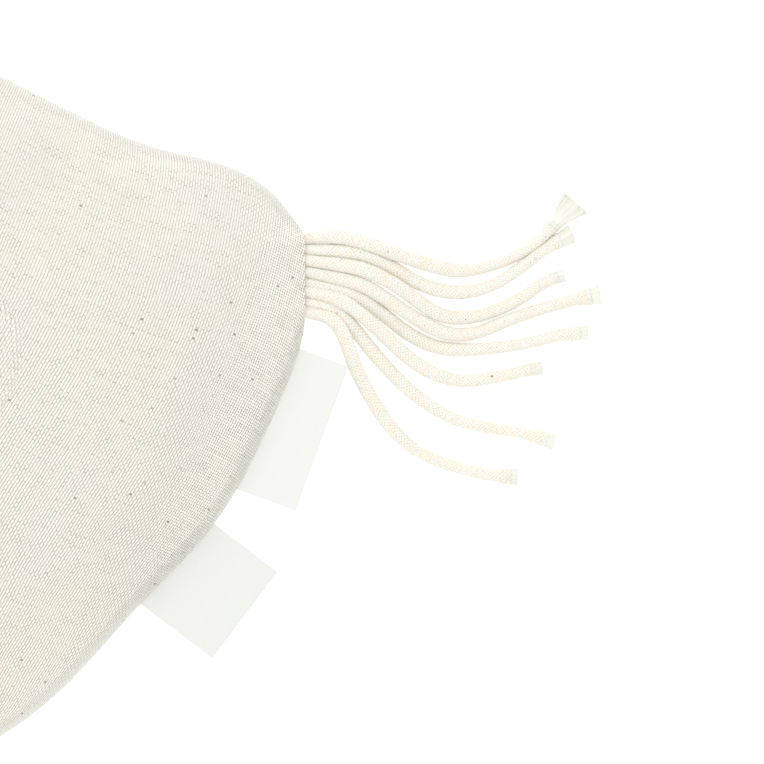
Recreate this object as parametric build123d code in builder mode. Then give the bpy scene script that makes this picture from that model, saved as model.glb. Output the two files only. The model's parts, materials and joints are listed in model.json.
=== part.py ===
from build123d import *

import os
from math import cos, hypot, pi, radians, sin, tan

# A stuffed linen compress with a tassel of braided cords. Millimetres, +Z up, resting on Z = 0.
# The origin is on the floor, under the centre of the rounded end. +X points out of the tassel's mouth.

# ---- The sewn outline, seen from above ----
round_radius = 116.0        # rounded end
round_top_angle = 63.0      # where the upper flank leaves the rounded end
round_low_angle = -43.0     # where the lower flank leaves it
tip_reach = 152.2           # from the origin to the seam at the tassel's mouth
tip_side = 39.3             # how far the mouth's middle lies off the X axis
tip_width = 25.0            # length of the mouth along the seam
# Points of each flank: share of the way along it, and how far it stands out there.
top_flank = [(0.32, 0.5), (0.53, 2.2), (0.72, 7.1), (0.87, 6.5)]
low_flank = [(0.13, 5.5), (0.32, 9.1), (0.52, 10.3), (0.79, 4.4)]
tip_top_heading = -51.0     # direction of the upper flank where it meets the mouth
tip_low_heading = -93.0     # direction of the lower flank where it leaves the mouth

# ---- Heights ----
seam_height = 20.0          # seam above the floor
crown_height = 26.0         # top of the cushion above the seam
# Each profile goes from the seam inwards: size of the level outline, and share of the height reached.
crown_profile = [
    (1.0, 0.0), (0.985, 0.14), (0.94, 0.36), (0.85, 0.61), (0.7, 0.82), (0.5, 0.94), (0.3, 0.985), (0.1, 1.0),
]
belly_profile = [(1.0, 0.0), (0.98, 0.24), (0.93, 0.52), (0.86, 0.77), (0.79, 0.92), (0.7, 1.0)]
middle_x = 12.0             # the level outlines shrink about this point
middle_y = 6.0

# ---- Cloth and thread ----
linen = 1.0                 # thickness of the linen cover
seam_allowance = 9.0        # width of linen turned in at the seam
thread = 0.6                # sewing thread
thread_inset = 5.0          # from the seam edge to the line of stitching
muslin = 0.6                # thickness of the inner pouch
pouch_inset = 16.0          # from the seam edge to the pouch's own seam
pouch_allowance = 5.0
filling_gap = 0.3           # between the pouch and the filling
cloth_gap = 0.9             # between the cover and the pouch, at its top and bottom

# ---- Cords ----
cord_diameter = 3.5
cord_gap = 0.15             # round each cord in the seam
root_length = 11.5          # cord caught in the seam
bend_gap = 0.5              # from the caught ends to the free cords, where the tassel bends
tape = 0.6                  # thickness of the tape that binds the caught ends
tape_cover = 6.1            # length of cord under the tape
bar_length = 2.6            # bar stitches on the tape
cord_turn_share = 0.45      # share of the shorter run that an arc takes

# The cords' routes, from the mouth to their free ends: x, y and z.
rest = cord_diameter / 2    # height of a cord that lies on the floor
cord_routes = [
    [(153.1, 50.2, 21.1), (160, 51.0, 21.1), (169, 49.2, 18.6), (179, 45.8, 13.4), (189, 42.3, 8.0),
     (199, 40.3, 4.0), (209, 42.6, rest), (218, 46.9, rest), (225.5, 53.4, rest), (230.5, 61.5, rest)],
    [(153.1, 47.2, 18.9), (161, 46.6, 18.9), (170, 45.4, 16.0), (179, 41.4, 11.0), (187.5, 35.8, 6.4),
     (198, 33.6, 3.0), (208, 35.6, rest), (217, 41.2, rest), (225.5, 48.0, rest), (232.5, 50.5, rest)],
    [(153.1, 44.2, 21.1), (161, 42.8, 21.1), (170, 41.2, 18.4), (178.5, 37.0, 13.6), (186, 31.4, 8.4),
     (193, 26.6, 4.4), (202, 26.4, rest), (210.5, 29.2, rest), (218, 33.2, rest), (224.5, 38.2, rest),
     (230.5, 39.8, rest)],
    [(153.1, 40.9, 19.4), (161, 38.8, 19.4), (170, 36.4, 16.6), (178, 31.4, 11.8), (186, 26.0, 7.0),
     (194.5, 21.4, 3.4), (203.5, 21.8, rest), (212, 25.6, rest), (222, 29.2, rest), (232, 32.1, rest),
     (240.5, 33.8, rest)],
    [(153.1, 37.5, 17.8), (160.5, 35.3, 17.8), (168.5, 32.7, 15.0), (176, 27.2, 10.4), (183.5, 21.2, 5.8),
     (192, 17.4, 2.8), (201.5, 17.0, rest), (211, 17.9, rest), (220, 19.4, rest), (229, 21.8, rest),
     (237, 22.5, rest)],
    [(153.1, 34.7, 21.1), (159, 33.6, 21.1), (165.5, 30.3, 19.2), (171.5, 25.3, 15.6), (178, 19.2, 11.2),
     (184.5, 13.2, 7.0), (192, 9.2, 3.6), (200.5, 7.4, rest), (209, 8.8, rest), (216.5, 10.5, rest),
     (223.5, 11.8, rest)],
    [(153.1, 31.7, 18.7), (158.4, 30.6, 18.7), (163.6, 27.2, 17.2), (168, 21.9, 14.4), (173.6, 14.8, 10.2),
     (180.5, 7.3, 6.0), (188.5, 0.8, 3.0), (197.5, -4.2, rest), (206.5, -6.1, rest), (214.5, -7.2, rest),
     (221.5, -8.9, rest), (227, -10.5, rest)],
    [(153.1, 28.8, 21.1), (158.3, 27.6, 21.1), (162.6, 24.3, 20.3), (165.3, 19.0, 18.4), (167.4, 12.4, 15.2),
     (170.8, 4.8, 11.0), (175.8, -3.7, 6.8), (182.6, -11.4, 3.4), (191, -16.2, rest), (200, -18.9, rest),
     (208.5, -20.8, rest), (216, -21.0, rest)],
]
cord_starts = [route[0] for route in cord_routes]

# ---- Labels ----
label_thickness = 0.6       # two layers of ribbon
label_gap = 0.05            # round a label in the seam
hinge_offset = 1.0          # from the seam edge to the line that a label folds along
fold_gap = 0.4              # from that line to the free part of the label
tab_depth = 8.0             # label caught in the seam
# Each label: place along the lower flank, width, depth outside the seam, and how far it is turned.
long_label_place, long_label_width, long_label_depth, long_label_turn = 0.255, 46.0, 16.0, -4.4
square_label_place, square_label_width, square_label_depth, square_label_turn = 0.66, 32.5, 24.8, -6.6

# ---- Closing stitches over the filling gap, at the middle of the rounded end ----
closing_count = 13
closing_spread = 30.0       # degrees of the rounded end that they cover
closing_height = 2.6
closing_stand_off = 0.1

os.makedirs("parts", exist_ok=True)

edge_reach = round_radius - hypot(middle_x, middle_y)


def inset(distance):
    """Size of the level outline whose edge lies at least this far inside the seam."""
    return 1 - distance / edge_reach


def shrunk(x, y, size):
    """A point of the full outline, moved to where it lies on a smaller level outline."""
    return middle_x + size * (x - middle_x), middle_y + size * (y - middle_y)


def heading(angle):
    """A level direction, from its angle to +X."""
    return cos(radians(angle)), sin(radians(angle))


def flank_points(start, end, bulges):
    """Points from start to end, each standing out to the left of the way between them."""
    run_x, run_y = end[0] - start[0], end[1] - start[1]
    run = hypot(run_x, run_y)
    between = [
        (start[0] + share * run_x - out * run_y / run, start[1] + share * run_y + out * run_x / run)
        for share, out in bulges
    ]
    return [start, *between, end]


round_top = (round_radius * cos(radians(round_top_angle)), round_radius * sin(radians(round_top_angle)))
round_low = (round_radius * cos(radians(round_low_angle)), round_radius * sin(radians(round_low_angle)))
tip_top = (tip_reach, tip_side + tip_width / 2)
tip_low = (tip_reach, tip_side - tip_width / 2)
upper_points = flank_points(round_top, tip_top, top_flank)
lower_points = flank_points(tip_low, round_low, low_flank)


def outline(size=1.0, mode=Mode.ADD):
    """A level outline of the cushion, added to the current sketch."""
    with BuildLine() as edge:
        CenterArc(
            shrunk(0, 0, size),
            size * round_radius,
            round_top_angle,
            360 + round_low_angle - round_top_angle,
        )
        Spline(
            [shrunk(x, y, size) for x, y in upper_points],
            tangents=(heading(round_top_angle - 90), heading(tip_top_heading)),
        )
        Line(shrunk(*tip_top, size), shrunk(*tip_low, size))
        Spline(
            [shrunk(x, y, size) for x, y in lower_points],
            tangents=(heading(tip_low_heading), heading(round_low_angle - 90)),
        )
    make_face(edge.edges(), mode=mode)


def bulge(profile, height, size=1.0, wall=0.0, mode=Mode.ADD):
    """A dome from the seam's level to this height above it, or below it where height is negative."""
    levels = []
    for level_size, share in profile:
        with BuildSketch(Plane.XY.offset(seam_height + share * height)) as level:
            outline(size * level_size - wall / edge_reach)
        levels.append(level.sketch.face())
    loft(levels, mode=mode)


def level_ring(bottom, height, outer, inner):
    """A flat ring that follows the outline, between two sizes of it."""
    with BuildSketch(Plane.XY.offset(bottom)) as ring:
        outline(outer)
        outline(inner, mode=Mode.SUBTRACT)
    extrude(ring.sketch, amount=height)


def cut_block(x_range, y_range, z_range):
    """Cut a square opening from the current part."""
    with BuildSketch(Plane.XY.offset(z_range[0])) as opening:
        with Locations((sum(x_range) / 2, sum(y_range) / 2)):
            Rectangle(x_range[1] - x_range[0], y_range[1] - y_range[0])
    extrude(opening.sketch, amount=z_range[1] - z_range[0], mode=Mode.SUBTRACT)


# ---- The mouth: room for the cord ends, and for the tape round them ----
root_top = max(z for x, y, z in cord_starts) + cord_diameter / 2
root_bottom = min(z for x, y, z in cord_starts) - cord_diameter / 2
root_out = min(x for x, y, z in cord_starts) - bend_gap
root_in = root_out - root_length
mouth_low = min(y for x, y, z in cord_starts) - cord_diameter / 2 - cord_gap
mouth_high = max(y for x, y, z in cord_starts) + cord_diameter / 2 + cord_gap
tape_top = root_top + cord_gap + tape
tape_bottom = root_bottom - cord_gap - tape
tape_in = root_in - cord_gap - tape
tape_out = root_in + tape_cover
past_seam = 2.0             # how far the opening's cut runs past the seam edge


def cut_mouth():
    """Open the seam for the cord ends, wider where the tape and its stitches are."""
    cut_block(
        (tape_out - cord_gap, tip_reach + past_seam),
        (mouth_low, mouth_high),
        (root_bottom - cord_gap, root_top + cord_gap),
    )
    cut_block(
        (tape_in - cord_gap, tape_out + cord_gap),
        (mouth_low - cord_gap, mouth_high + cord_gap),
        (tape_bottom - thread - cord_gap, tape_top + thread + cord_gap),
    )


# ---- Labels: a plane at the seam edge, with its own X along the seam and Y outwards ----
with BuildLine() as low_seam:
    Spline(lower_points, tangents=(heading(tip_low_heading), heading(round_low_angle - 90)))


def label_plane(place, height):
    """The level plane whose X axis runs along the seam at this place, and whose Y axis points out of it."""
    seam_point = low_seam.line @ place
    along = low_seam.line % place
    return Plane(origin=(seam_point.X, seam_point.Y, height), x_dir=(-along.X, -along.Y, 0), z_dir=(0, 0, -1))


def label_shape(place, width, depth, turn, near, far, thickness, mode=Mode.ADD):
    """A flat piece of label between two distances from the seam edge, square with the label's own turn."""
    with BuildSketch(label_plane(place, seam_height + thickness / 2)) as shape:
        Rectangle(width, 2 * depth, rotation=turn)
        with Locations((0, (near + far) / 2)):
            Rectangle(2 * width, far - near, mode=Mode.INTERSECT)
    extrude(shape.sketch, amount=thickness, mode=mode)


def cut_tab_pocket(place, width, turn):
    """Room in the seam allowances for a label's caught end."""
    label_shape(
        place,
        width + 2 * label_gap,
        seam_allowance,
        turn,
        -tab_depth - label_gap,
        hinge_offset,
        label_thickness + 2 * label_gap,
        mode=Mode.SUBTRACT,
    )


labels = {
    "long_label": (long_label_place, long_label_width, long_label_depth, long_label_turn),
    "square_label": (square_label_place, square_label_width, square_label_depth, square_label_turn),
}

# ---- Cover: two linen panels, each a shell with its allowance turned in ----
with BuildPart() as front_cover:
    bulge(crown_profile, crown_height)
    bulge(crown_profile, crown_height - linen, wall=linen, mode=Mode.SUBTRACT)
    level_ring(seam_height, linen, inset(linen / 2), inset(seam_allowance))
    cut_mouth()
    for place, width, depth, turn in labels.values():
        cut_tab_pocket(place, width, turn)
front_cover.part.label = "front_cover"
export_step(front_cover.part, "parts/front_cover.step")

with BuildPart() as back_cover:
    bulge(belly_profile, -seam_height)
    bulge(belly_profile, linen - seam_height, wall=linen, mode=Mode.SUBTRACT)
    level_ring(seam_height - linen, linen, inset(linen / 2), inset(seam_allowance))
    cut_mouth()
    for place, width, depth, turn in labels.values():
        cut_tab_pocket(place, width, turn)
back_cover.part.label = "back_cover"
export_step(back_cover.part, "parts/back_cover.step")

# ---- Lockstitch of the edge seam: one thread on each allowance ----
with BuildPart() as seam_needle_thread:
    level_ring(seam_height + linen, thread, inset(thread_inset), inset(thread_inset + thread))
    cut_mouth()
seam_needle_thread.part.label = "seam_needle_thread"
export_step(seam_needle_thread.part, "parts/seam_needle_thread.step")

with BuildPart() as seam_bobbin_thread:
    level_ring(seam_height - linen - thread, thread, inset(thread_inset), inset(thread_inset + thread))
    cut_mouth()
seam_bobbin_thread.part.label = "seam_bobbin_thread"
export_step(seam_bobbin_thread.part, "parts/seam_bobbin_thread.step")

# ---- Hand stitches that close the filling gap ----
with BuildPart() as closing_stitches:
    with BuildSketch(Plane.XY.offset(seam_height - closing_height / 2)):
        with PolarLocations(
            round_radius + closing_stand_off + thread / 2,
            closing_count,
            180 - closing_spread / 2,
            closing_spread,
            endpoint=True,
        ):
            Circle(thread / 2)
    extrude(amount=closing_height)
closing_stitches.part.label = "closing_stitches"
export_step(closing_stitches.part, "parts/closing_stitches.step")

# ---- Inner pouch of muslin ----
pouch_size = inset(pouch_inset)
pouch_rim = inset(pouch_inset - pouch_allowance)
pouch_crown = crown_height - linen - cloth_gap
pouch_belly = seam_height - linen - cloth_gap

with BuildPart() as pouch_front:
    bulge(crown_profile, pouch_crown, size=pouch_size)
    bulge(crown_profile, pouch_crown - muslin, size=pouch_size, wall=muslin, mode=Mode.SUBTRACT)
    level_ring(seam_height, muslin, pouch_rim, pouch_size - muslin / 2 / edge_reach)
pouch_front.part.label = "pouch_front"
export_step(pouch_front.part, "parts/pouch_front.step")

with BuildPart() as pouch_back:
    bulge(belly_profile, -pouch_belly, size=pouch_size)
    bulge(belly_profile, muslin - pouch_belly, size=pouch_size, wall=muslin, mode=Mode.SUBTRACT)
    level_ring(seam_height - muslin, muslin, pouch_rim, pouch_size - muslin / 2 / edge_reach)
pouch_back.part.label = "pouch_back"
export_step(pouch_back.part, "parts/pouch_back.step")

pouch_stitch_line = pouch_inset - pouch_allowance / 2
with BuildPart() as pouch_thread:
    level_ring(seam_height + muslin, thread, inset(pouch_stitch_line), inset(pouch_stitch_line + thread))
pouch_thread.part.label = "pouch_thread"
export_step(pouch_thread.part, "parts/pouch_thread.step")

# ---- Filling of dried herbs and grain ----
filling_wall = muslin + filling_gap
with BuildPart() as herb_filling:
    bulge(crown_profile, pouch_crown - filling_wall, size=pouch_size, wall=filling_wall)
    bulge(belly_profile, filling_wall - pouch_belly, size=pouch_size, wall=filling_wall)
herb_filling.part.label = "herb_filling"
export_step(herb_filling.part, "parts/herb_filling.step")

# ---- Caught ends of the cords, their tape and its stitches ----
with BuildPart() as cord_roots:
    with BuildSketch(Plane.YZ.offset(root_in)):
        with Locations([(y, z) for x, y, z in cord_starts]):
            Circle(cord_diameter / 2)
    extrude(amount=root_length)
cord_roots.part.label = "cord_roots"
export_step(cord_roots.part, "parts/cord_roots.step")

tape_width = mouth_high - mouth_low - 2 * cord_gap
with BuildPart() as root_tape:
    with BuildSketch(Plane.XZ.offset(-(mouth_low + cord_gap))):
        with Locations(((tape_in + tape_out) / 2, (tape_bottom + tape_top) / 2)):
            Rectangle(tape_out - tape_in, tape_top - tape_bottom)
        with Locations(((tape_in + tape + tape_out) / 2, (tape_bottom + tape_top) / 2)):
            Rectangle(tape_out - tape_in - tape, tape_top - tape_bottom - 2 * tape, mode=Mode.SUBTRACT)
    extrude(amount=-tape_width)
root_tape.part.label = "root_tape"
export_step(root_tape.part, "parts/root_tape.step")

with BuildPart() as root_stitches:
    for face_height in (tape_top, tape_bottom - thread):
        with BuildSketch(Plane.XY.offset(face_height)):
            with Locations([((tape_in + tape_out) / 2, y) for x, y, z in cord_starts]):
                SlotOverall(bar_length, thread)
        extrude(amount=thread)
root_stitches.part.label = "root_stitches"
export_step(root_stitches.part, "parts/root_stitches.step")

# ---- Labels: the caught ends and the free flaps ----
for name, (place, width, depth, turn) in labels.items():
    with BuildPart() as tab:
        label_shape(place, width, seam_allowance, turn, -tab_depth, hinge_offset, label_thickness)
    tab.part.label = name + "_tab"
    export_step(tab.part, "parts/" + name + "_tab.step")

    with BuildPart() as flap:
        label_shape(place, width, depth, turn, hinge_offset + fold_gap, 2 * depth, label_thickness)
    flap.part.label = name
    export_step(flap.part, "parts/" + name + ".step")

    fold_line = label_plane(place, seam_height)
    fold_point = fold_line.origin + fold_line.y_dir * hinge_offset
    print(name, "folds along", fold_line.x_dir, "through", fold_point)

# ---- Free cords: straight runs joined by arcs as large as the runs allow ----
for number, route in enumerate(cord_routes, 1):
    corners = [Vector(*point) for point in route]
    radii = []
    for before, corner, after in zip(corners, corners[1:], corners[2:]):
        turn = radians((corner - before).get_angle(after - corner))
        shorter_run = min((corner - before).length, (after - corner).length)
        radii.append(cord_turn_share * shorter_run / tan(turn / 2))
    with BuildPart() as cord:
        with BuildLine() as way:
            FilletPolyline(*corners, radius=radii)
        with BuildSketch(Plane(origin=way.line @ 0, z_dir=way.line % 0)):
            Circle(cord_diameter / 2)
        sweep()
    cord.part.label = f"cord_{number}"
    export_step(cord.part, f"parts/cord_{number}.step")
    length = way.wire().length
    expected = pi * cord_diameter**2 / 4 * length
    print(cord.part.label, "length", round(length, 1), "radii", [round(r, 1) for r in radii])
    print("   volume", round(cord.part.volume, 1), "and section times length", round(expected, 1))
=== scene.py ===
import json
import math
import random

import bmesh
import bpy
import numpy as np
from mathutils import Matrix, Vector, noise
from mathutils.bvhtree import BVHTree


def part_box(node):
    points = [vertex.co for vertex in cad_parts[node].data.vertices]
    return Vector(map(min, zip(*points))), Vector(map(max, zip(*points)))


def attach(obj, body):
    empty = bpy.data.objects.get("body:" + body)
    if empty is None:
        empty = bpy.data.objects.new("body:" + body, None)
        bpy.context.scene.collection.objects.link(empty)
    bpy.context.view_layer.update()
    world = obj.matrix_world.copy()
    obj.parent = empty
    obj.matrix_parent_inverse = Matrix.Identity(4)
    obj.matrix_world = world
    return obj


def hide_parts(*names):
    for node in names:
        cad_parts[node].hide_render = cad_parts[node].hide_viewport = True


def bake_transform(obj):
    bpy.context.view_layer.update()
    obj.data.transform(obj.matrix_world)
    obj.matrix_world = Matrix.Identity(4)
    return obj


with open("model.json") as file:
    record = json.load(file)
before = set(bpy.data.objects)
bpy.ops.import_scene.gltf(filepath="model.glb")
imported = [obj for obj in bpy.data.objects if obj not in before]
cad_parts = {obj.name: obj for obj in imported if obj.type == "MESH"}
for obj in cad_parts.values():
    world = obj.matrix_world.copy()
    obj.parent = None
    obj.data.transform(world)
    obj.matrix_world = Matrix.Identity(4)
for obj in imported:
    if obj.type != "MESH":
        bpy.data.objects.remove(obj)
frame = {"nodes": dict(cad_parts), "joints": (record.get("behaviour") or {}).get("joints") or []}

MM = 0.001
UP = Vector((0, 0, 1))
nodes = frame["nodes"]
joints = {joint["name"]: joint for joint in frame["joints"]}
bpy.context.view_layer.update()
scene = bpy.context.scene


# ======== Camera: straight above the tassel, through a long lens ========

VIEW_MIDDLE = (175.2 * MM, 7.5 * MM)
VIEW_WIDTH = 229.2 * MM
VIEW_LEVEL = 12 * MM         # height at which the view is that wide
CAMERA_HEIGHT = 3.0
SENSOR = 36.0


def place_camera():
    lens = bpy.data.cameras.new("camera")
    lens.sensor_width = SENSOR
    lens.lens = SENSOR * (CAMERA_HEIGHT - VIEW_LEVEL) / VIEW_WIDTH
    camera = bpy.data.objects.new("camera", lens)
    camera.location = (*VIEW_MIDDLE, CAMERA_HEIGHT)
    scene.collection.objects.link(camera)
    scene.camera = camera


place_camera()


# ======== Meshes ========

def points_of(mesh):
    """A mesh's points as rows of x, y and z."""
    found = np.empty(len(mesh.vertices) * 3)
    mesh.vertices.foreach_get("co", found)
    return found.reshape(-1, 3)


def add_values(mesh, name, values):
    """Give each point of a mesh a number, or three, that its finish can read."""
    values = np.asarray(values, np.float32)
    kind, field = ("FLOAT", "value") if values.ndim == 1 else ("FLOAT_VECTOR", "vector")
    mesh.attributes.new(name, kind, "POINT").data.foreach_set(field, values.ravel())


def make_piece(name, points, faces, finish):
    """A smooth-shaded piece with one material."""
    mesh = bpy.data.meshes.new(name)
    mesh.from_pydata([tuple(point) for point in points], [], faces)
    mesh.shade_smooth()
    mesh.materials.append(finish)
    piece = bpy.data.objects.new(name, mesh)
    scene.collection.objects.link(piece)
    return piece


def tube_faces(rings, around):
    """Faces of a tube with closed ends whose points come ring by ring."""
    faces = []
    for ring in range(rings - 1):
        for step in range(around):
            low, next_low = ring * around + step, ring * around + (step + 1) % around
            faces.append((low, next_low, next_low + around, low + around))
    faces.append(tuple(reversed(range(around))))
    faces.append(tuple(range((rings - 1) * around, rings * around)))
    return faces


def smooth(value):
    """0 up to 0, 1 from 1 on, and a soft step between."""
    value = np.clip(value, 0, 1)
    return value * value * (3 - 2 * value)


# ======== Materials ========

class Wire:
    """A socket of a material's nodes, so that a sum on sockets reads as a sum."""

    def __init__(self, finish, socket):
        self.finish = finish
        self.socket = socket

    def math(self, operation, *values):
        inputs = dict(enumerate(values))
        return self.finish.node("ShaderNodeMath", {"operation": operation}, inputs)

    def __add__(self, other):
        return self.math("ADD", self, other)

    def __sub__(self, other):
        return self.math("SUBTRACT", self, other)

    def __mul__(self, other):
        return self.math("MULTIPLY", self, other)

    def __truediv__(self, other):
        return self.math("DIVIDE", self, other)

    def __pow__(self, other):
        return self.math("POWER", self, other)

    def __radd__(self, other):
        return self.math("ADD", other, self)

    def __rsub__(self, other):
        return self.math("SUBTRACT", other, self)

    def __rmul__(self, other):
        return self.math("MULTIPLY", other, self)

    def floor(self):
        return self.math("FLOOR", self)

    def fraction(self):
        return self.math("FRACT", self)

    def sine(self):
        return self.math("SINE", self)

    def larger(self, other):
        return self.math("MAXIMUM", self, other)

    def step(self, start, end):
        """A soft step from 0 at start to 1 at end."""
        settings = {"interpolation_type": "SMOOTHSTEP"}
        return self.finish.node("ShaderNodeMapRange", settings, {0: self, 1: start, 2: end})


class Finish:
    """A material and its nodes."""

    def __init__(self, name):
        self.material = bpy.data.materials.new(name)
        self.material.use_nodes = True
        self.tree = self.material.node_tree
        self.tree.nodes.clear()

    def node(self, kind, settings=None, inputs=None, output=0):
        """Add a node, set it up, give its sockets their values or links, and return an output."""
        made = self.tree.nodes.new(kind)
        for name, value in (settings or {}).items():
            setattr(made, name, value)
        for name, value in (inputs or {}).items():
            if isinstance(value, Wire):
                self.tree.links.new(value.socket, made.inputs[name])
            else:
                made.inputs[name].default_value = value
        return Wire(self, made.outputs[output]) if len(made.outputs) else None

    def values(self, name):
        """What add_values gave each point."""
        return self.node("ShaderNodeAttribute", {"attribute_name": name}, output=1)

    def object_place(self):
        return self.node("ShaderNodeTexCoord", output=3)

    def parts(self, vector):
        """The three numbers of a vector."""
        first = self.node("ShaderNodeSeparateXYZ", inputs={0: vector})
        return [Wire(self, socket) for socket in first.socket.node.outputs]

    def vector(self, x, y, z=0.0):
        return self.node("ShaderNodeCombineXYZ", inputs={0: x, 1: y, 2: z})

    def cloud(self, place, scale, detail=2.0):
        """Soft noise from 0 to 1."""
        inputs = {"Vector": place, "Scale": scale, "Detail": detail}
        return self.node("ShaderNodeTexNoise", inputs=inputs)

    def chance(self, place):
        """A random number from 0 to 1 for each place."""
        return self.node("ShaderNodeTexWhiteNoise", {"noise_dimensions": "2D"}, {"Vector": place})

    def mix(self, share, first, second, kind="MIX"):
        """The first colour where share is 0 and the second where it is 1."""
        settings = {"data_type": "RGBA", "blend_type": kind}
        return self.node("ShaderNodeMix", settings, {0: share, 6: first, 7: second}, output=2)

    def relief(self, height, depth, strength=1.0):
        """A normal that shows height as a relief of this depth in metres."""
        inputs = {"Height": height, "Distance": depth, "Strength": strength}
        return self.node("ShaderNodeBump", inputs=inputs)

    def surface(self, **sockets):
        """Close the material with these sockets of one shader."""
        inputs = {name.replace("_", " "): value for name, value in sockets.items()}
        shader = self.node("ShaderNodeBsdfPrincipled", inputs=inputs)
        self.node("ShaderNodeOutputMaterial", inputs={"Surface": shader})
        return self.material


def colour(red, green, blue):
    return (red, green, blue, 1.0)


def ridge(place):
    """Round backs of threads that lie side by side, one to each whole number."""
    across = 2 * place.fraction() - 1
    return (1 - across * across).larger(0.0) ** 0.5


WARP_PITCH = 0.85 * MM
WEFT_PITCH = 0.84 * MM
THREAD_DEPTH = 0.20 * MM
PAINTED_LIGHT_X, PAINTED_LIGHT_Y = 0.9, 0.35   # painted light and shade grow along +X and against +Y: the yarn is painted lighter and the gaps between threads darker
PAINTED_LIGHT_FROM, PAINTED_LIGHT_TO = 95 * MM, 120 * MM
PAINTED_DIM_FROM, PAINTED_DIM_TO = -30 * MM, 90 * MM   # along Y, where the yarn is painted darker and the painted shade in the gaps between threads turns paler
PAINTED_DIM_WAVER = 0.03          # metres by which that band's place wavers
FLECK_FROM, FLECK_TO = 0.9984, 0.9996        # chance above which a place is a dark fleck


def linen_finish():
    """Plain weave of pale warp over greyer flax weft, with slubs and dark flecks, painted shade in the gaps
    between threads, and painted light and shade that change across the cover.
    """
    f = Finish("linen")
    lay = f.values("cloth_lay")
    across, along, edge = f.parts(lay)
    waver = f.cloud(lay, 160.0) - 0.5
    warp = across / WARP_PITCH + 0.6 * waver
    weft = along / WEFT_PITCH - 0.6 * waver
    warp_slub = f.cloud(f.vector(warp.floor() * 5.7, weft * 0.11), 1.0)
    weft_slub = f.cloud(f.vector(warp * 0.11, weft.floor() * 5.3), 1.0)
    wave = (warp * math.pi).sine() * (weft * math.pi).sine()
    x, y, _ = f.parts(f.object_place())
    # opened is painted light: towards +X and -Y it paints the yarn lighter and the gaps between threads
    # darker, for the light falling across the cover from the top left.
    opened = (x * PAINTED_LIGHT_X - y * PAINTED_LIGHT_Y).step(PAINTED_LIGHT_FROM, PAINTED_LIGHT_TO)
    warp_rise = 0.84 - 0.04 * opened + (0.18 + 0.27 * opened) * wave
    weft_rise = 0.52 + 0.12 * opened - (0.12 + 0.25 * opened) * wave
    warp_back = ridge(warp) * warp_rise * (0.75 + 0.5 * warp_slub)
    weft_back = ridge(weft) * weft_rise * (0.6 + 0.8 * weft_slub)
    height = warp_back.larger(weft_back)
    on_top = (warp_back - weft_back).step(-0.1, 0.15)
    flax = f.mix(weft_slub.step(0.35, 0.75), colour(0.72, 0.70, 0.61), colour(0.52, 0.50, 0.42))
    cotton = f.mix(warp_slub.step(0.3, 0.8), colour(0.935, 0.92, 0.848), colour(0.865, 0.845, 0.765))
    yarn = f.mix(on_top, flax, cotton)
    # closed is painted shade: towards +Y it paints the yarn darker and the shade in the gaps between threads
    # paler.
    closed = (y + PAINTED_DIM_WAVER * (f.cloud(lay, 45.0) - 0.5)).step(PAINTED_DIM_FROM, PAINTED_DIM_TO)
    yarn = f.mix(closed, yarn, f.mix(1.0, yarn, colour(0.905, 0.905, 0.905), "MULTIPLY"))
    # Painted light: the yarn is painted lighter where opened is high.
    yarn = f.mix(0.85 * opened, yarn, colour(0.985, 0.97, 0.90))
    crossing = f.chance(f.vector((warp + 0.5).floor(), weft.floor()))
    # Painted shade in the holes between the threads: paler at random crossings and where closed is high,
    # deeper where opened is high.
    gap_shade_lifted = closed * (1 - 0.95 * opened) + 0.9 * (crossing - 0.5)
    painted_gap_shade = f.mix(gap_shade_lifted, colour(0.12, 0.11, 0.085), colour(0.46, 0.44, 0.37))
    base = f.mix(height.step(0.12 + 0.16 * opened, 0.78 - 0.1 * closed + 0.13 * opened), painted_gap_shade, yarn)
    tint = f.mix(f.cloud(lay, 28.0).step(0.35, 0.65), colour(0.985, 0.985, 0.98), colour(1.0, 0.99, 0.965))
    base = f.mix(1.0, base, tint, "MULTIPLY")
    # Partly the threads running together at the seam, partly painted light: a paler band along the seam
    # against the shade of its rolled edge.
    base = f.mix(0.5 * edge, base, colour(0.80, 0.79, 0.73))
    fleck_place = f.vector(warp.floor(), (weft * 1.3 + warp.floor() * 0.37).floor())
    fleck = f.chance(fleck_place).step(FLECK_FROM, FLECK_TO) * ridge(warp)
    base = f.mix(fleck * 0.85, base, colour(0.20, 0.16, 0.11))
    return f.surface(
        Base_Color=base,
        Roughness=0.93 - 0.1 * height,
        Sheen_Weight=0.15,
        Normal=f.relief(height, THREAD_DEPTH),
    )


CORD = 3.5 * MM
BRAID_STRANDS = 10           # strands that turn each way round a cord
BRAID_LEAD = 11.5 * MM       # length of one whole turn of a strand


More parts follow.
